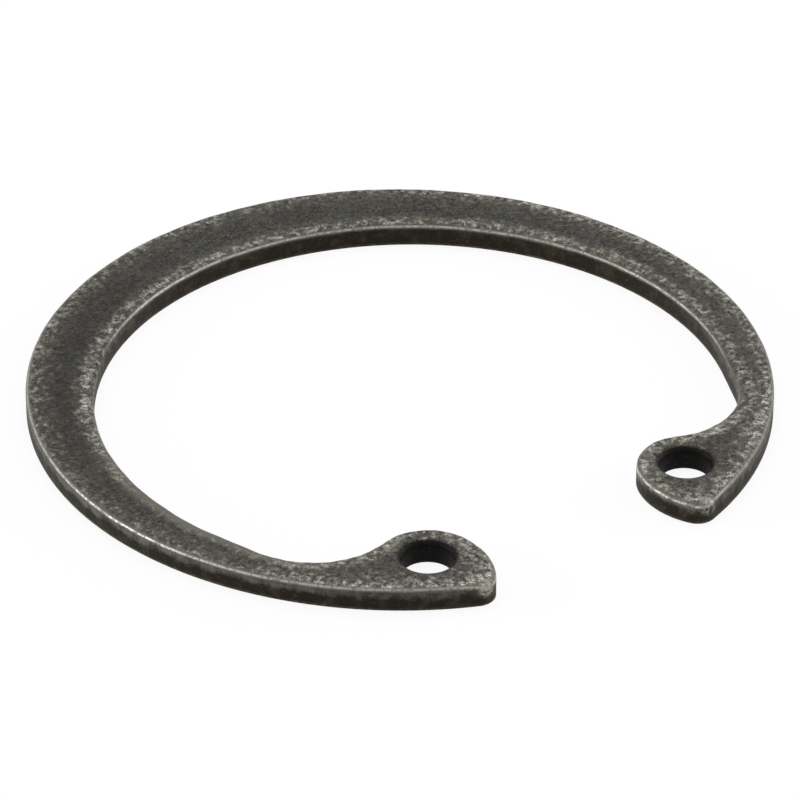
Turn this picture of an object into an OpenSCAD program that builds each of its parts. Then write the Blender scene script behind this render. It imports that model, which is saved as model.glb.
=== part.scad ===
// Internal retaining ring, stamped from spring steel strip.
// The ring lies flat on z = 0, its centre is on the Z axis and its gap faces -Y.
// Lengths are in millimetres, and headings are counted from +X towards +Y.

/* [Ring] */
// Outer diameter of the relaxed ring
outer_d = 34.4; // [32:0.1:38]
// Thickness of the strip
thickness = 1.15; // [0.8:0.05:1.6]
// Radial width of the ring opposite the gap, where it is widest
back_w = 3.7; // [3:0.1:4.4]
// Radial width to which the ring would taper in the middle of the gap
front_w = 1.35; // [1:0.05:1.7]

/* [Lugs] */
// Clear width between the two lugs, where they are nearest
gap_w = 9.1; // [7:0.1:12]
// Radial height of a lug, from the ring's outer edge to the tip of its nose
lug_h = 4.75; // [4.3:0.05:5.4]
// Radius of the nose
nose_r = 2.45; // [2:0.05:2.8]
// Radius of the slightly bulged end face
end_r = 3.8; // [3.2:0.1:5]
// Tilt of the bulge of the end face towards the outer edge, in degrees
end_lean = 19; // [5:1:30]
// Radius of the outer corner of the end face
corner_r = 0.9; // [0.5:0.1:1.2]
// Radius of the hollow between the lug and the ring
hollow_r = 3.95; // [3:0.05:5]
// Depth by which the hollow cuts into the ring
hollow_cut = 0.22; // [0.1:0.02:0.4]

/* [Plier holes] */
// Diameter of a plier hole
hole_d = 2.3; // [1.6:0.1:2.6]
// Distance from the middle of the nose to the hole, towards the ring's centre
hole_shift = 0.27; // [0:0.01:0.4]

/* [Stamped edges] */
// Width of the edge that the punch draws over, on the upper face
roll_w = 0.2; // [0.1:0.02:0.3]
// Width of the broken edge on the lower face
break_w = 0.06; // [0.04:0.01:0.15]

/* [Hidden] */
$fn = 96;

outer_r = outer_d / 2;
// The inner circle is off centre, towards the gap.
inner_r = outer_r - (back_w + front_w) / 2;
inner_c = [0, (front_w - back_w) / 2];

// An edge's arc leaves both of its faces at 15 degrees.
edge_arc = sqrt(2);
edge_inset = (1 + sqrt(3)) / 2;
// How far a cutter reaches past the faces
spare = 0.5;
// How far a round overlaps the round that it blends into
bite = 0.01;

// Middle of the nose, and of the arc of the end face around it
nose_x = gap_w / 2 + end_r - (end_r - nose_r) * cos(end_lean);
nose_place = outer_r - lug_h + nose_r;
nose_c = [nose_x, -sqrt(nose_place ^ 2 - nose_x ^ 2)];
end_c = nose_c + (end_r - nose_r) * [cos(end_lean), -sin(end_lean)];
// The corner's arc touches the outer edge and the end face's arc from inside.
corner_c = meet([0, 0], outer_r - corner_r, end_c, end_r - corner_r, -1);
// The hollow touches the nose from outside and cuts a little past the inner circle.
hollow_c = meet(inner_c, inner_r - hollow_r + hollow_cut, nose_c, nose_r + hollow_r, 1);
hole_c = nose_c * (1 - hole_shift / nose_place);

// The straight line that joins the hollow to the inner circle touches both.
line_dir = heading(hollow_c - inner_c) + acos((inner_r - hollow_r) / norm(hollow_c - inner_c));
line_from = hollow_c + hollow_r * dir(line_dir);
line_to = inner_c + inner_r * dir(line_dir);

function dir(angle) = [cos(angle), sin(angle)];
function heading(v) = atan2(v.y, v.x);

// One of the two points at distance ra from a and rb from b, on the side that sign picks
function meet(a, ra, b, rb, sign) =
    let (ab = b - a, d = norm(ab), along = (ra ^ 2 - rb ^ 2 + d ^ 2) / (2 * d))
    a + along * ab / d + sign * sqrt(ra ^ 2 - along ^ 2) * [-ab.y, ab.x] / d;

// What a stamped edge of width w lacks, for a corner of material at the origin with its body below left
module edge_loss(w) {
    translate([-edge_inset * w, -edge_inset * w])
        difference() {
            square(edge_inset * w + spare);
            circle(r = edge_arc * w);
        }
}

// Section of a disc of radius r, from its axis outwards
module disc_section(r) {
    difference() {
        square([r, thickness]);
        translate([r, thickness]) edge_loss(roll_w);
        translate([r, 0]) mirror([0, 1]) edge_loss(break_w);
    }
}

// Section of an opening that reaches to x = r, with the edges of the material around it
module opening_section(r) {
    translate([0, -spare]) square([r, thickness + 2 * spare]);
    translate([r, thickness]) mirror([1, 0]) edge_loss(roll_w);
    translate([r, 0]) rotate(180) edge_loss(break_w);
}

module disc(r) {
    rotate_extrude() disc_section(r);
}

// The part of a disc between two headings, counted from one to the next
module sector(r, from, to) {
    rotate_extrude(angle = (to - from + 360) % 360, start = from) disc_section(r);
}

module opening(r) {
    rotate_extrude() opening_section(r);
}

// The straight line that leads from the right-hand hollow to the inner circle
module straight() {
    width = hollow_r / 2;
    translate(line_to)
        rotate(line_dir)
            translate([-width - bite, 0])
                rotate([90, 0, 0])
                    linear_extrude(norm(line_to - line_from)) opening_section(width);
}

// The open ring, up to the radial line through each lug's outer corner
module open_ring() {
    gap = 2 * corner_c;
    difference() {
        disc(outer_r);
        translate(inner_c) opening(inner_r);
        translate([0, 0, -spare])
            linear_extrude(thickness + 2 * spare)
                polygon([[0, 0], gap, [-gap.x, gap.y]]);
        for (side = [0, 1]) mirror([side, 0, 0]) straight();
    }
}

// The right-hand lug, with the web that fills the corner between it and the ring
module lug() {
    end_from = heading(nose_c - end_c);
    web_from = heading(corner_c);
    web_to = heading(hollow_c);
    web_r = outer_r - 2 * roll_w;
    // The nose runs on a little into the web and the end face, and stops short of the outer edge.
    translate(nose_c) sector(nose_r + bite, heading(hollow_c - nose_c) - 30, end_from + 20);
    translate(end_c) sector(end_r, end_from, heading(corner_c - end_c));
    translate(corner_c) disc(corner_r + bite / 3);
    linear_extrude(thickness)
        polygon(concat(
            [hollow_c, nose_c, corner_c],
            [for (i = [1:3]) web_r * dir(web_from + (web_to - web_from) * i / 3)]
        ));
}

module retaining_ring() {
    color([0.26, 0.25, 0.24])
        difference() {
            union() {
                open_ring();
                for (side = [0, 1]) mirror([side, 0, 0]) lug();
            }
            for (side = [0, 1]) mirror([side, 0, 0]) {
                translate(hollow_c) opening(hollow_r + bite);
                translate(hole_c) opening(hole_d / 2);
            }
        }
}

retaining_ring();
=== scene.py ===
"""Looks of an internal retaining ring, stamped from spring steel strip and phosphated.

The ring is one piece. Its outline is a chain of arcs worked out from the same sizes as the solid,
and the stamped edge is carried along that outline. The ring is worked out in millimetres, and the
camera, the lamps and the floor are placed in metres.
"""

import bpy
import numpy as np
from mathutils import Matrix, Vector
from mathutils.geometry import delaunay_2d_cdt


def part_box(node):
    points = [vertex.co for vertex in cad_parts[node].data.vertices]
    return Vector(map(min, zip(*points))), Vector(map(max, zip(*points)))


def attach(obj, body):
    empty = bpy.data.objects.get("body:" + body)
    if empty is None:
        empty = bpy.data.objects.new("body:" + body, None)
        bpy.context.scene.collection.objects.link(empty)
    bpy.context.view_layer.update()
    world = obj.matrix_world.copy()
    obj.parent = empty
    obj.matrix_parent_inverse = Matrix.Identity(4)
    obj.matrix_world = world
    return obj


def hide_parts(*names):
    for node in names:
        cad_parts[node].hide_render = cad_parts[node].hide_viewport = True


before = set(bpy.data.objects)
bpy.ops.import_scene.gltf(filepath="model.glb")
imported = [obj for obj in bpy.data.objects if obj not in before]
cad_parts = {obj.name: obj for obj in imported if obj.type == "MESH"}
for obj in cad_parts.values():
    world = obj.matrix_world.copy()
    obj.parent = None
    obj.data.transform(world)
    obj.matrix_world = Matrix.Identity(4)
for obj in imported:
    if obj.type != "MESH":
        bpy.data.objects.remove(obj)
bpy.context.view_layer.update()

MM = 0.001
NODE = "retaining_ring"

# Sizes of the ring in millimetres, the first two from the solid itself
low, high = (np.array(corner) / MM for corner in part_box(NODE))
OUTER_R = (high[0] - low[0]) / 2
THICKNESS = high[2] - low[2]
BACK_W = 3.7
FRONT_W = 1.35
GAP_W = 9.1
LUG_H = 4.75
NOSE_R = 2.45
END_R = 3.8
END_LEAN = np.radians(19)
CORNER_R = 0.9
HOLLOW_R = 3.95
HOLLOW_CUT = 0.22
HOLE_R = 1.15
HOLE_SHIFT = 0.27

# The upper edges are drawn over by the punch: their widths, what a lug's knocked corner adds to that,
# and their height as a share of the width
RIM_ROLL = 0.26
INNER_ROLL = 0.34
HOLE_ROLL = 0.34
CORNER_ROLL = 0.2
ROLL_RISE = 0.9
# The drawn-over width wavers along the outline: each wave's share of it, its count and its start
ROLL_WAVES = ((0.05, 23, 0), (0.05, 61, 1), (0.04, 147, 2))
# The lower edges are broken
BREAK_W = 0.06
# Half the width of the worn line on a drawn-over edge, which is partly wear and partly a painted highlight
LINE_W = 0.06

# Spacing of the mesh on the lugs, on the ring and inside the flat faces, and points round a plier hole
LUG_STEP = 0.1
RING_STEP = 0.25
FACE_STEP = 0.3
HOLE_POINTS = 96

# Places round the ring in degrees: where the rim's worn line with its painted highlight is brightest, where
# the inner edge's line is scuffed away and the crust is darkest, where the inner edge has more specks, and
# where the inner wall has a clean sheared band
FRONT_LEFT = 198
SCUFFED = 145
SPECKLED = 155
SHEARED_LEFT = 160
SHEARED_RIGHT = 328
# Places in millimetres: the left lug's end, the right lug's neck and the inner edge beside that neck
LEFT_LUG_END = (-5.8, -14.8)
RIGHT_LUG_NECK = (8.7, -13.5)
BESIDE_NECK = (12.9, -8.3)

# The photograph's camera, in pixels of its 800 x 800 frame, degrees and outer radii
IMAGE_W = 800
FOCAL_PX = 5739.6
CENTRE_PX = np.array([399.82, 398.47])
CAMERA_AZIMUTH = np.radians(-33.247)
CAMERA_ELEVATION = np.radians(32.656)
CAMERA_ROLL = np.radians(0.193)
CAMERA_DISTANCE = 15.389


def direction(angle):
    """Unit vector at an angle, or one row for each angle of an array."""
    return np.stack([np.cos(angle), np.sin(angle)], -1)


def heading(v):
    """Angle of a vector, from 0 to a full turn."""
    return np.arctan2(v[1], v[0]) % (2 * np.pi)


def meet(a, ra, b, rb, sign):
    """One of the two points at distance ra from a and rb from b."""
    ab = b - a
    d = np.linalg.norm(ab)
    along = (ra**2 - rb**2 + d**2) / (2 * d)
    across = np.sqrt(ra**2 - along**2)
    return a + along * ab / d + sign * across * np.array([-ab[1], ab[0]]) / d


def arc(centre, radius, start, end, step, outward):
    """Points centre + radius (cos a, sin a), with a running from start to end, and their normals.

    The normals leave the steel: outward is 1 on a convex arc and -1 on a concave one. The end point is
    left to the next arc.
    """
    count = int(np.ceil(abs(end - start) * radius / step))
    n = direction(np.linspace(start, end, count, endpoint=False))
    return centre + radius * n, outward * n


def straight(start, end, normal, step):
    """Points on a line from start to end, with one normal throughout."""
    count = int(np.ceil(np.linalg.norm(end - start) / step))
    t = np.linspace(0, 1, count, endpoint=False)[:, None]
    return start + t * (end - start), np.repeat(normal[None], count, 0)


def ring_outline():
    """Closed outline of the ring as points, outward normals and True where it faces the ring's inside.

    The right half runs from the back of the inner circle round the lug to the back of the rim.
    The left half is its mirror image, backwards, so the steel is always on the left. Also returns the
    centres of the right lug's corner and of its plier hole.
    """
    origin = np.zeros(2)
    inner_r = OUTER_R - (BACK_W + FRONT_W) / 2
    inner_c = np.array([0, (FRONT_W - BACK_W) / 2])
    nose_x = GAP_W / 2 + END_R - (END_R - NOSE_R) * np.cos(END_LEAN)
    nose_place = OUTER_R - LUG_H + NOSE_R
    nose_c = np.array([nose_x, -np.sqrt(nose_place**2 - nose_x**2)])
    end_c = nose_c + (END_R - NOSE_R) * direction(-END_LEAN)
    corner_c = meet(origin, OUTER_R - CORNER_R, end_c, END_R - CORNER_R, -1)
    hollow_c = meet(inner_c, inner_r - HOLLOW_R + HOLLOW_CUT, nose_c, NOSE_R + HOLLOW_R, 1)

    # The line that touches the inner circle and the hollow, by the heading of its normal
    to_hollow = hollow_c - inner_c
    spread = np.arccos((inner_r - HOLLOW_R) / np.linalg.norm(to_hollow))
    touch = np.arctan2(to_hollow[1], to_hollow[0]) + spread
    line_start = inner_c + inner_r * direction(touch)
    line_end = hollow_c + HOLLOW_R * direction(touch)

    back = np.pi / 2
    to_nose, to_end = heading(hollow_c - nose_c), heading(nose_c - end_c)
    to_corner, to_rim = heading(corner_c - end_c), heading(corner_c)
    inner_chain = [
        arc(inner_c, inner_r, back, touch, RING_STEP, -1),
        straight(line_start, line_end, -direction(touch), RING_STEP),
        arc(hollow_c, HOLLOW_R, touch, to_nose - np.pi, LUG_STEP, -1),
    ]
    outer_chain = [
        arc(nose_c, NOSE_R, to_nose, to_end, LUG_STEP, 1),
        arc(end_c, END_R, to_end, to_corner, LUG_STEP, 1),
        arc(corner_c, CORNER_R, to_corner, to_rim, LUG_STEP / 2, 1),
        arc(origin, OUTER_R, to_rim, back + 2 * np.pi, RING_STEP, 1),
    ]
    chain = inner_chain + outer_chain
    points = np.concatenate([p for p, _ in chain] + [[[0, OUTER_R]]])
    normals = np.concatenate([n for _, n in chain] + [[[0, 1]]])
    inside = np.arange(len(points)) < sum(len(p) for p, _ in inner_chain)

    mirror = np.array([-1, 1])
    points = np.concatenate([points, mirror * points[-2:0:-1]])
    normals = np.concatenate([normals, mirror * normals[-2:0:-1]])
    inside = np.concatenate([inside, inside[-2:0:-1]])
    hole_c = nose_c * (1 - HOLE_SHIFT / nose_place)
    return points, normals, inside, corner_c, hole_c


def bell(d, width):
    """exp(-(d / width)^2), which is 1 at d = 0."""
    return np.exp(-((d / width) ** 2))


def near(xy, place, width):
    """A bell curve about a place, with its width in millimetres."""
    return bell(np.linalg.norm(xy - np.array(place), axis=1), width)


def at_turn(xy, degrees, width):
    """A bell curve about one place round the ring, with its width in radians."""
    turn = np.arctan2(xy[:, 1], xy[:, 0]) % (2 * np.pi)
    return bell(turn - np.radians(degrees), width)


def near_corner(xy, corner_c):
    """A bell curve about the knocked corner of either lug's end, beside the rim."""
    before_rim, width = 0.4, 0.55
    knock = corner_c + CORNER_R * direction(heading(corner_c) - before_rim)
    off = np.minimum(*(np.linalg.norm(xy - knock * [side, 1], axis=1) for side in (1, -1)))
    return bell(off, width)


def smooth_along(values, reach):
    """Values along a closed line, averaged over reach points to either side."""
    return sum(np.roll(values, k) for k in range(-reach, reach + 1)) / (2 * reach + 1)


def outline_edge(points, inside, corner_c):
    """How the edge is drawn over and worn at each point of the outline, as edge_profile takes it.

    The worn line is partly wear and partly a painted highlight on the rolled edge. It lies near the wall
    on the lugs, higher on the inner edge, and higher still on the rim, where it is faint except at the front
    left. On the inner edge it is fainter than on the lugs, and it is scuffed away at the left back and fades
    beside the right neck.
    """
    inward = smooth_along(inside.astype(float), 12)
    rim = np.linalg.norm(points, axis=1) > OUTER_R - 0.001
    on_rim = smooth_along(rim.astype(float), 6)
    travel = np.arange(len(points)) * 2 * np.pi / len(points)
    wavering = 1
    for share, count, start in ROLL_WAVES:
        wavering = wavering + share * np.sin(count * travel + start)
    knocked = CORNER_ROLL * near_corner(points, corner_c)
    roll_w = (RIM_ROLL + (INNER_ROLL - RIM_ROLL) * inward + knocked) * wavering

    line_at = 1.3 - 0.3 * inward - on_rim * (0.5 - 0.35 * at_turn(points, FRONT_LEFT, 0.55))
    scuffed = inward * at_turn(points, SCUFFED, 0.3)
    fainter_inside = 0.35 + 0.3 * at_turn(points, FRONT_LEFT, 0.9)
    fainter_on_rim = 0.82 - 0.48 * at_turn(points, FRONT_LEFT, 1.1) - 0.25 * at_turn(points, FRONT_LEFT, 0.3)
    line_share = 0.95 - inward * fainter_inside - on_rim * fainter_on_rim
    line_share = line_share - inward * 0.5 * near(points, BESIDE_NECK, 3.2) - 0.55 * scuffed
    smooth = 0.65 - inward * (0.3 - 0.5 * at_turn(points, FRONT_LEFT, 0.45)) - 0.3 * scuffed
    return roll_w, line_at, np.clip(line_share, 0, 1), smooth


def edge_profile(roll_w, line_at, line_share, smooth):
    """Section of the stamped edge, from the upper face over the wall to the lower face.

    A quarter ellipse rolls the upper edge over, roll_w wide and nearly as high, the wall is straight,
    and a quarter circle breaks the lower edge. Rows are the levels of the section and columns the
    points of the outline. Returns the distances out of the steel, the heights, how much of each
    level is wall, the worn line with its painted highlight, which is line_share at the angle line_at of the
    quarter ellipse, and how far the ellipse is rubbed smooth.
    """
    roll = np.linspace(0, np.pi / 2, 15)[:, None]
    wall = np.linspace(0, 1, 6)[1:-1, None]
    broken = np.linspace(0, np.pi / 2, 4)[:, None]
    face_above, face_below, smooth_from = 1.2, 0.04, 0.6
    roll_h = ROLL_RISE * roll_w
    wall_top = THICKNESS - roll_h
    flat = 0 * roll_w[None]
    out = [
        flat - face_above * roll_w,
        (np.sin(roll) - 1) * roll_w,
        0 * wall + flat,
        BREAK_W * (np.cos(broken) - 1) + flat,
        flat - BREAK_W - face_below,
    ]
    up = [
        flat + THICKNESS,
        THICKNESS - roll_h * (1 - np.cos(roll)),
        wall_top + wall * (BREAK_W - wall_top),
        BREAK_W * (1 - np.sin(broken)) + flat,
        flat,
    ]
    walled, line, rolled = ([np.zeros_like(rows) for rows in up] for _ in range(3))
    walled[1:] = [(roll / roll[-1]) ** 6 + flat] + [rows + 1 for rows in walled[2:]]
    line[1] = line_share * bell((roll - line_at) * roll_w, LINE_W)
    rolled[1] = smooth * np.clip(roll / smooth_from, 0, 1)
    return [np.concatenate(rows) for rows in (out, up, walled, line, rolled)]


def band(points, normals, *edge):
    """The edge profile carried along a closed line: a grid of levels by outline points, and its quads."""
    out, up, *marks = edge_profile(*edge)
    levels, count = out.shape
    xy = points[None] + normals[None] * out[..., None]
    grid = np.concatenate([xy, up[..., None]], -1)
    index = np.arange(levels * count).reshape(levels, count)
    ahead = np.roll(index, -1, 1)
    quads = np.stack([index[:-1], index[1:], ahead[1:], ahead[:-1]], -1).reshape(-1, 4)
    return grid.reshape(-1, 3), quads, np.stack(marks, -1).reshape(-1, 3), index


def distance(points, line):
    """Distance of each point from the nearest point of a finely divided line."""
    parts = np.array_split(points, max(1, len(points) // 2000))
    return np.concatenate([np.linalg.norm(p[:, None] - line[None], axis=2).min(1) for p in parts])


def encloses(loop, points):
    """True for each point inside a closed loop, by the number of edges that a ray along X crosses."""
    a, b = loop, np.roll(loop, -1, 0)
    x, y = points[:, :1], points[:, 1:]
    over = (a[:, 1] > y) != (b[:, 1] > y)
    rise = np.where(a[:, 1] == b[:, 1], 1, b[:, 1] - a[:, 1])
    cross = a[:, 0] + (y - a[:, 1]) * (b[:, 0] - a[:, 0]) / rise
    return (over & (cross > x)).sum(1) % 2 == 1


def flat_face(loops, cell):
    """Triangles that fill a flat face between closed loops, with a staggered grid of points inside it.

    The first loop is the outline and the others are holes. Returns the points added and the triangles,
    which count through the loops in turn and then the points added.
    """
    outline = loops[0]
    rows = np.arange(outline[:, 1].min(), outline[:, 1].max(), cell * np.sqrt(3) / 2)
    cols = np.arange(outline[:, 0].min(), outline[:, 0].max(), cell)
    grid = np.stack(np.meshgrid(cols, rows), -1)
    grid[1::2, :, 0] += cell / 2
    grid = grid.reshape(-1, 2)
    grid = grid[encloses(outline, grid)]
    for hole in loops[1:]:
        grid = grid[~encloses(hole, grid)]
    rim = np.concatenate(loops)
    grid = grid[distance(grid, rim) > 0.6 * cell]

    edges = []
    for loop in loops:
        start = len(edges)
        edges += [(start + i, start + (i + 1) % len(loop)) for i in range(len(loop))]
    coords = np.concatenate([rim, grid])
    _, _, faces, origin, _, _ = delaunay_2d_cdt([Vector(c) for c in coords], edges, [], 1, 1e-7)
    first = np.array([o[0] for o in origin])
    faces = first[np.array([f for f in faces if len(f) == 3])]
    centres = coords[faces].mean(1)
    keep = encloses(outline, centres)
    for hole in loops[1:]:
        keep &= ~encloses(hole, centres)
    faces = faces[keep]

    a, b, c = (coords[faces[:, i]] for i in range(3))
    turn = (b - a)[:, 0] * (c - a)[:, 1] - (b - a)[:, 1] * (c - a)[:, 0]
    faces[turn < 0] = faces[turn < 0][:, ::-1]
    return grid, faces


def wear(xy, inner, outer, hole):
    """How far an area was rubbed bright, from 0 to 1, from its place and its distances from the edges.

    It is the greater of two bell curves: about a line beside the inner edge, strongest at the left, and
    about the rim, strongest at the right and at the back. It spreads over the whole width towards the
    lugs, more at the left lug's end and less at the right lug's neck, and the edges of the plier holes
    have none.
    """
    left = at_turn(xy, FRONT_LEFT, 0.6)
    left_back = at_turn(xy, SPECKLED, 0.4)
    front = np.clip((-xy[:, 1] - 8.5) / 4, 0, 1)
    right = np.clip(xy[:, 0] / 14, 0, 1) * np.clip(1 - xy[:, 1] / 16, 0, 1)
    back = np.clip(xy[:, 1] / 10, 0, 1)
    spread = 0.32 * front + 0.16 * near(xy, LEFT_LUG_END, 1.3) - 0.14 * near(xy, RIGHT_LUG_NECK, 1.6)

    peak = 0.45 + 0.1 * right
    before_peak = 0.6 + 0.5 * at_turn(xy, FRONT_LEFT, 0.45)
    off_peak = np.where(inner > peak, inner - peak, before_peak * (peak - inner))
    inner_w = 0.52 - 0.1 * left + 0.08 * left_back
    from_inner = (0.71 + 0.05 * left + 0.06 * left_back) * bell(off_peak, inner_w)
    rim_w = 1.3 + 0.1 * right
    from_rim = (0.62 + 0.16 * right + 0.1 * back) * bell(outer, rim_w)
    rubbed = spread + (1 - spread) * np.maximum(from_inner, from_rim)
    hole_w = 0.15
    return rubbed * (1 - bell(hole, hole_w))


def surface_values(verts, marks, inner_line, outer_line, holes, corner_c):
    """The values that the material reads at each vertex, by name.

    marks holds wall, worn line with painted highlight and smooth edge from the edge profile. sheared is the
    share of the clean sheared band on the walls, and a smooth strip follows the inner edge at the front left.
    """
    xy = verts[:, :2]
    inner, outer, hole = (distance(xy, line) for line in (inner_line, outer_line, holes))
    by_outer = np.clip((0.5 - outer) / 0.4, 0, 1)
    by_inner = np.clip((0.5 - inner) / 0.4, 0, 1)
    sheared = by_outer * (0.6 + 0.4 * at_turn(xy, FRONT_LEFT, 0.5))
    sheared += by_inner * (0.9 * at_turn(xy, SHEARED_LEFT, 0.55) + 0.9 * at_turn(xy, SHEARED_RIGHT, 0.25))
    above = verts[:, 2] > THICKNESS / 2
    strip = 0.85 * at_turn(xy, FRONT_LEFT, 0.5) * np.clip((0.85 - inner) / 0.4, 0, 1) * above
    return {
        "rubbed": wear(xy, inner, outer, hole),
        "walled": marks[:, 0],
        "line": marks[:, 1],
        "rolled": np.maximum(marks[:, 2], strip),
        "sheared": sheared,
        "hole_mm": hole,
        "corner": near_corner(xy, corner_c),
        "sooty": at_turn(xy, SCUFFED, 0.75),
    }


def ring_mesh():
    """The whole ring: a band along the outline, one down each plier hole, and a flat face above and below."""
    points, normals, inside, corner_c, hole_c = ring_outline()
    loops = [(points, normals, *outline_edge(points, inside, corner_c))]
    around = direction(np.linspace(2 * np.pi, 0, HOLE_POINTS, endpoint=False))
    none = np.zeros(HOLE_POINTS)
    for side in (1, -1):
        hole = hole_c * [side, 1] + HOLE_R * around
        loops.append((hole, -around, none + HOLE_ROLL, none, none, none))

    verts, quads, marks, tops, bottoms = [], [], [], [], []
    total = 0
    for loop in loops:
        v, q, m, index = band(*loop)
        verts.append(v)
        quads.append(q + total)
        marks.append(m)
        tops.append(index[0] + total)
        bottoms.append(index[-1] + total)
        total += len(v)
    triangles = []
    for rims, z in ((tops, THICKNESS), (bottoms, 0)):
        so_far = np.concatenate(verts)
        grid, faces = flat_face([so_far[rim][:, :2] for rim in rims], FACE_STEP)
        numbers = np.concatenate(rims + [total + np.arange(len(grid))])
        faces = numbers[faces]
        triangles.append(faces if z else faces[:, ::-1])
        verts.append(np.column_stack([grid, np.full(len(grid), z)]))
        marks.append(np.zeros((len(grid), 3)))
        total += len(grid)

    verts = np.concatenate(verts)
    holes = np.concatenate([loop[0] for loop in loops[1:]])
    lines = points[inside], points[~inside], holes
    values = surface_values(verts, np.concatenate(marks), *lines, corner_c)
    return verts, np.concatenate(quads), np.concatenate(triangles), values


def make_piece(name, verts, quads, triangles, values):
    """A mesh object at the origin, from vertices in millimetres.

    Each named value has one number a vertex, and becomes an attribute for the material.
    """
    mesh = bpy.data.meshes.new(name)
    corners = np.concatenate([quads.ravel(), triangles.ravel()])
    sizes = np.concatenate([np.full(len(quads), 4), np.full(len(triangles), 3)])
    mesh.vertices.add(len(verts))
    mesh.vertices.foreach_set("co", (verts * MM).astype(np.float32).ravel())
    mesh.loops.add(len(corners))
    mesh.loops.foreach_set("vertex_index", corners.astype(np.int32))
    mesh.polygons.add(len(sizes))
    mesh.polygons.foreach_set("loop_start", (np.cumsum(sizes) - sizes).astype(np.int32))
    mesh.update(calc_edges=True)
    mesh.validate()
    mesh.polygons.foreach_set("use_smooth", np.ones(len(mesh.polygons), bool))
    for key, value in values.items():
        mesh.attributes.new(key, "FLOAT", "POINT").data.foreach_set("value", value.astype(np.float32))
    piece = bpy.data.objects.new(name, mesh)
    bpy.context.scene.collection.objects.link(piece)
    return piece


def linear(hex_colour):
    """A linear RGBA colour from an sRGB hex value such as #3d3b39."""
    c = np.array([int(hex_colour[i : i + 2], 16) / 255 for i in (1, 3, 5)])
    c = np.where(c <= 0.04045, c / 12.92, ((c + 0.055) / 1.055) ** 2.4)
    return (*(float(x) for x in c), 1.0)


def add(tree, kind, *inputs, named=None, **settings):
    """Adds a node, sets its properties, and fills the inputs in use, in order and then by name.

    An input takes a number, a vector, an sRGB hex value, or a link from a socket or from a node's first
    output in use.
    """
    made = tree.nodes.new(kind)
    for key, value in settings.items():
        setattr(made, key, value)
    pairs = list(zip([socket for socket in made.inputs if socket.enabled], inputs))
    pairs += [(made.inputs[key], value) for key, value in (named or {}).items()]
    for socket, value in pairs:
        if isinstance(value, bpy.types.Node):
            value = next(output for output in value.outputs if output.enabled)
        if isinstance(value, bpy.types.NodeSocket):
            tree.links.new(value, socket)
        else:
            socket.default_value = linear(value) if isinstance(value, str) else value
    return made


def new_material(name):
    """An empty node material, and its tree."""
    material = bpy.data.materials.new(name)
    material.use_nodes = True
    material.node_tree.nodes.clear()
    return material, material.node_tree


def layered(tree, colour, layers):
    """A colour with patterns laid over it in turn.

    Each layer names its source, the two values between which it fades in, its greatest share and its colour.
    """
    for source, low, high, share, over in layers:
        fade = add(tree, "ShaderNodeMapRange", source, low, high, 0.0, share, interpolation_type="SMOOTHSTEP")
        colour = add(tree, "ShaderNodeMix", fade, colour, over, data_type="RGBA")
    return colour


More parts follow.
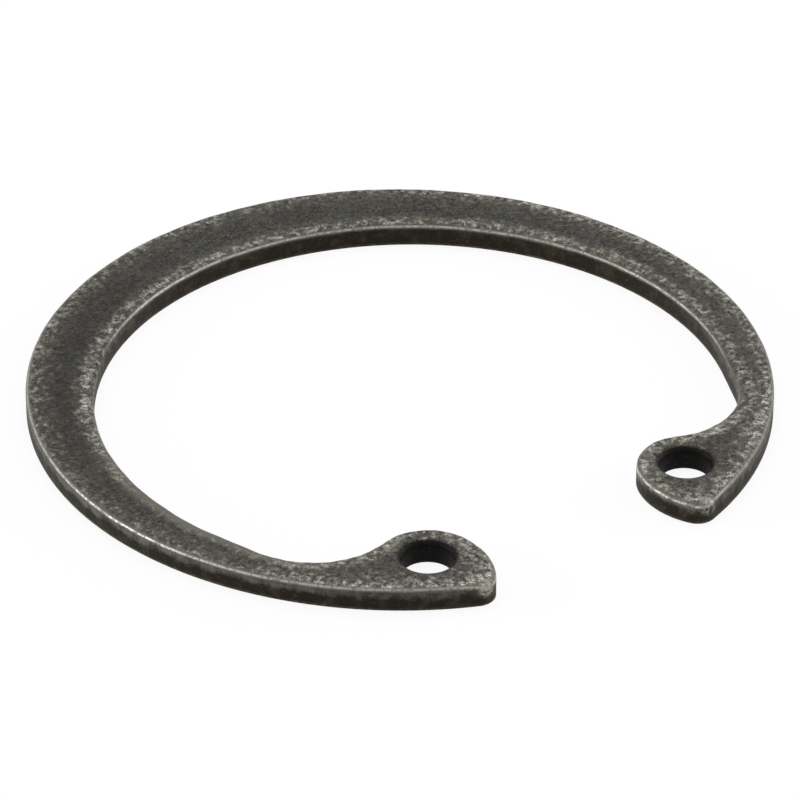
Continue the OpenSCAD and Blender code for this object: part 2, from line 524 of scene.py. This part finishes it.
def phosphated_spring_steel():
    """Phosphated spring steel: strip stamped to shape, hardened, phosphated, oiled and tumbled.

    The phosphate is a dark, fine-grained crust with brown and bluish clouds. Tumbling rubs it through
    to bright steel in specks that crowd along the edges, spread thinly over the lugs and miss the walls.
    """
    material, tree = new_material("phosphated_spring_steel")
    place = add(tree, "ShaderNodeTexCoord").outputs["Object"]
    # One unit of the patterns is one millimetre
    mm = add(tree, "ShaderNodeMapping", place, named={"Scale": (1000, 1000, 1000)})
    height = add(tree, "ShaderNodeSeparateXYZ", mm).outputs["Z"]
    names = ("rubbed", "walled", "line", "rolled", "sheared", "hole_mm", "corner", "sooty")
    rubbed, walled, line, rolled, sheared_share, hole, corner, sooty = (
        add(tree, "ShaderNodeAttribute", attribute_name=name).outputs["Fac"] for name in names)

    # Each pattern's size in millimetres, its detail and roughness, and where it is taken from. The crust's
    # real grain is finer than a pixel, so sand draws it as coarse as it needs to show.
    patterns = []
    for size, detail, rough, shift in (
        (2.0, 3, 0.55, 0),
        (1.25, 2, 0.5, 40),
        (0.6, 4, 0.6, 11),
        (0.28, 3, 0.65, 23),
        (0.12, 2, 0.6, 130),
        (0.22, 3, 0.6, 71),
    ):
        moved = add(tree, "ShaderNodeVectorMath", mm, (shift, shift, shift), operation="ADD")
        patterns.append(add(tree, "ShaderNodeTexNoise", moved, 1 / size, detail, rough))
    clouds, hue, mottle, grain, sand, pitting = patterns

    # The crust: bluish and brown clouds, mottled and sandy, and sootier at the left back
    crust = layered(tree, "#1b1a19", (
        (clouds, 0.4, 0.6, 1.0, "#2e2f30"),
        (hue, 0.48, 0.6, 0.8, "#33281f"),
        (mottle, 0.46, 0.64, 0.7, "#4e4c45"),
        (sand, 0.52, 0.66, 0.75, "#64625b"),
        (sand, 0.48, 0.34, 0.75, "#1b1a18"),
        (sooty, 0.0, 1.0, 0.4, "#161515"),
    ))

    # Wear runs ahead of the crust's unevenness first as a veil, where the crust is thin, and then as
    # specks, where it is gone
    grained = add(tree, "ShaderNodeMath", grain, 0.4, operation="MULTIPLY")
    for pattern, share in ((mottle, 0.2), (sand, 0.4)):
        grained = add(tree, "ShaderNodeMath", pattern, share, grained, operation="MULTIPLY_ADD")
    patch = add(tree, "ShaderNodeMapRange", grained, 0.38, 0.62)
    worn = add(tree, "ShaderNodeMath", rubbed, 0.8, operation="MULTIPLY")
    ahead = add(tree, "ShaderNodeMath", worn, patch, operation="SUBTRACT")
    specks = add(tree, "ShaderNodeMapRange", ahead, -0.1, 0.25, interpolation_type="SMOOTHSTEP")
    dull = layered(tree, "#504e47", ((sand, 0.38, 0.62, 1.0, "#8f8c82"),))
    clear = layered(tree, "#5f5c54", ((sand, 0.38, 0.62, 1.0, "#dad7cc"),))
    bared = layered(tree, dull, ((rubbed, 0.4, 0.95, 1.0, clear),))
    # Pits keep their dark crust, and the drawn-over edge is smooth and grey
    face = layered(tree, crust, (
        (ahead, -0.5, 0.2, 0.5, "#5d5a51"),
        (ahead, -0.1, 0.25, 1.0, bared),
        (pitting, 0.55, 0.64, 0.85, "#211f1d"),
        (rolled, 0.0, 1.0, 1.0, "#66645c"),
    ))

    # The walls: a grey sheared band above a browner torn one, whose foot is rusty and chipped light, and
    # lighter overall as a painted highlight on the broken lower edge
    foot = add(tree, "ShaderNodeMapRange", height, 0.22, 0.02, interpolation_type="SMOOTHSTEP")
    rust = add(tree, "ShaderNodeMapRange", hue, 0.5, 0.62, 0.0, 0.6, interpolation_type="SMOOTHSTEP")
    rusty_foot = add(tree, "ShaderNodeMath", foot, rust, operation="MULTIPLY")
    chips = add(tree, "ShaderNodeMapRange", grain, 0.42, 0.58, interpolation_type="SMOOTHSTEP")
    chipped_foot = add(tree, "ShaderNodeMath", foot, chips, operation="MULTIPLY")
    torn = layered(tree, "#211d15", (
        (foot, 0.0, 1.0, 0.4, "#5b554a"),
        (mottle, 0.46, 0.66, 1.0, "#353025"),
        (rusty_foot, 0.0, 1.0, 1.0, "#40301f"),
        (chipped_foot, 0.0, 1.0, 0.6, "#6b6458"),
        (sand, 0.62, 0.72, 0.4, "#6b675a"),
    ))
    sheared = layered(tree, "#43433f", (
        (mottle, 0.38, 0.64, 1.0, "#65645f"),
        (sand, 0.52, 0.66, 0.3, "#7b786e"),
    ))
    # The sheared band's lower limit is uneven, and lies lower at the corner of each lug's end
    uneven = add(tree, "ShaderNodeMapRange", mottle, 0.0, 1.0, -0.3, 0.3)
    level = add(tree, "ShaderNodeMath", height, uneven, operation="ADD")
    from_level = add(tree, "ShaderNodeMath", corner, -0.3, 0.52, operation="MULTIPLY_ADD")
    sheared_up = add(tree, "ShaderNodeMapRange", level, from_level, 0.82, interpolation_type="SMOOTHSTEP")
    sheared_share = add(tree, "ShaderNodeMath", sheared_share, sheared_up, operation="MULTIPLY")
    wall = add(tree, "ShaderNodeMix", sheared_share, torn, sheared, data_type="RGBA")
    colour = add(tree, "ShaderNodeMix", walled, face, wall, data_type="RGBA")

    # The worn line along the edge, partly wear and partly a painted highlight, and the knocked corner of each
    # lug's end
    broken = add(tree, "ShaderNodeMapRange", grained, 0.42, 0.54, 0.3, 1.0, interpolation_type="SMOOTHSTEP")
    worn_line_and_highlight = add(tree, "ShaderNodeMath", line, broken, operation="MULTIPLY")
    knocked = add(tree, "ShaderNodeMapRange", corner, 0.4, 0.9, interpolation_type="SMOOTHSTEP")
    for source, low, high in ((grained, 0.4, 0.56), (height, 0.35, 0.65)):
        fade = add(tree, "ShaderNodeMapRange", source, low, high, interpolation_type="SMOOTHSTEP")
        knocked = add(tree, "ShaderNodeMath", knocked, fade, operation="MULTIPLY")
    colour = add(tree, "ShaderNodeMix", worn_line_and_highlight, colour, "#d8d5cb", data_type="RGBA")
    colour = add(tree, "ShaderNodeMix", knocked, colour, "#928f86", data_type="RGBA")
    # Painted shade: the plier holes' bores and their edges are painted near black over the crust, with a few
    # scratches
    painted_hole_shade = layered(tree, "#0a0806", ((sand, 0.6, 0.72, 0.5, "#4f4b42"),))
    colour = layered(tree, colour, ((hole, 0.26, 0.1, 1.0, painted_hole_shade),))

    # Bared steel is metal and smoother than the crust, which is matt. The grey edge and the walls are crust
    bright = specks
    for covered in (walled, rolled):
        bare = add(tree, "ShaderNodeMath", 1.0, covered, operation="SUBTRACT")
        bright = add(tree, "ShaderNodeMath", bright, bare, operation="MULTIPLY")
    for share in (worn_line_and_highlight, knocked):
        bright = add(tree, "ShaderNodeMath", bright, share, operation="MAXIMUM", use_clamp=True)
    rough = add(tree, "ShaderNodeMapRange", bright, 0.0, 1.0, 0.55, 0.34)
    metal = add(tree, "ShaderNodeMath", bright, 0.9, operation="MULTIPLY")
    pits = add(tree, "ShaderNodeMapRange", pitting, 0.6, 0.68, interpolation_type="SMOOTHSTEP")
    depth = add(tree, "ShaderNodeMath", pits, -0.3, grained, operation="MULTIPLY_ADD")
    # The relief is 0.03 mm deep
    relief = add(tree, "ShaderNodeBump", named={"Height": depth, "Strength": 0.6, "Distance": 0.03 * MM})
    surface = add(tree, "ShaderNodeBsdfPrincipled", named={
        "Base Color": colour, "Roughness": rough, "Metallic": metal, "Normal": relief,
        "Specular IOR Level": 0.1})
    add(tree, "ShaderNodeOutputMaterial", surface)
    return material


def background_ray(tree):
    """1 for a ray that shows the background: the camera's own, one off metal, or one through glass."""
    path = add(tree, "ShaderNodeLightPath").outputs
    seen = path["Is Camera Ray"]
    for name in ("Is Glossy Ray", "Is Transmission Ray"):
        seen = add(tree, "ShaderNodeMath", seen, path[name], operation="MAXIMUM")
    return seen


def floor_paper():
    """Matt white paper. Where it shows as background it is lifted to white, and keeps the ring's shadow."""
    material, tree = new_material("floor_paper")
    seen = background_ray(tree)
    paper = add(tree, "ShaderNodeMix", seen, "#f2f2f2", "#5a5a5a", data_type="RGBA")
    matt = add(tree, "ShaderNodeBsdfDiffuse", paper)
    lift = add(tree, "ShaderNodeMath", seen, 0.9, operation="MULTIPLY")
    glow = add(tree, "ShaderNodeEmission", "#ffffff", lift)
    add(tree, "ShaderNodeOutputMaterial", add(tree, "ShaderNodeAddShader", matt, glow))
    return material


def camera():
    """The photograph's camera, from the ring centre's pixel, the focal length and three angles."""
    a, e, r = CAMERA_AZIMUTH, CAMERA_ELEVATION, CAMERA_ROLL
    back = np.array([np.sin(a) * np.cos(e), -np.cos(a) * np.cos(e), np.sin(e)])
    right = np.array([np.cos(a), np.sin(a), 0])
    up = np.cross(back, right)
    right, up = np.cos(r) * right + np.sin(r) * up, np.cos(r) * up - np.sin(r) * right
    off = (CENTRE_PX - IMAGE_W / 2) / FOCAL_PX
    place = CAMERA_DISTANCE * OUTER_R * MM * (back - off[0] * right + off[1] * up)
    data = bpy.data.cameras.new("camera")
    data.sensor_width = 36
    data.lens = FOCAL_PX / IMAGE_W * data.sensor_width
    data.clip_start = 0.01
    made = bpy.data.objects.new("camera", data)
    turn = Matrix([[*row] for row in np.column_stack([right, up, back])]).to_4x4()
    made.matrix_world = Matrix.Translation(place) @ turn
    bpy.context.scene.collection.objects.link(made)
    bpy.context.scene.camera = made


def lamp(name, place, size, watts):
    """A square soft white lamp that faces the ring."""
    data = bpy.data.lights.new(name, "AREA")
    data.size = size
    data.energy = watts
    made = bpy.data.objects.new(name, data)
    made.location = place
    made.rotation_euler = (-Vector(place)).to_track_quat("-Z", "Y").to_euler()
    bpy.context.scene.collection.objects.link(made)


def studio():
    """White surroundings, a paper floor and soft lamps.

    The world lights the ring at half strength and shows as full white. Lamps are given by place and
    size in metres and by power in watts.
    """
    world = bpy.data.worlds.new("studio")
    world.use_nodes = True
    tree = world.node_tree
    tree.nodes.clear()
    level = add(tree, "ShaderNodeMapRange", background_ray(tree), 0.0, 1.0, 0.5, 1.0)
    add(tree, "ShaderNodeOutputWorld", add(tree, "ShaderNodeBackground", "#ffffff", level))
    bpy.context.scene.world = world

    mesh = bpy.data.meshes.new("floor")
    reach, drop = 1.5, -0.01 * MM
    corners = [(x * reach, y * reach, drop) for x, y in ((-1, -1), (1, -1), (1, 1), (-1, 1))]
    mesh.from_pydata(corners, [], [(0, 1, 2, 3)])
    mesh.materials.append(floor_paper())
    floor = bpy.data.objects.new("floor", mesh)
    bpy.context.scene.collection.objects.link(floor)

    lamp("top_lamp", (0.05, 0.12, 0.4), 0.3, 0.64)
    lamp("right_lamp", (0.36, -0.1, 0.13), 0.2, 0.65)
    lamp("left_lamp", (-0.3, 0.2, 0.07), 0.2, 0.7)
    bpy.context.scene.view_settings.view_transform = "Standard"


camera()
studio()
verts, quads, triangles, values = ring_mesh()
ring = make_piece("ring", verts, quads, triangles, values)
ring.data.materials.append(phosphated_spring_steel())
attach(ring, "root")
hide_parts(NODE)
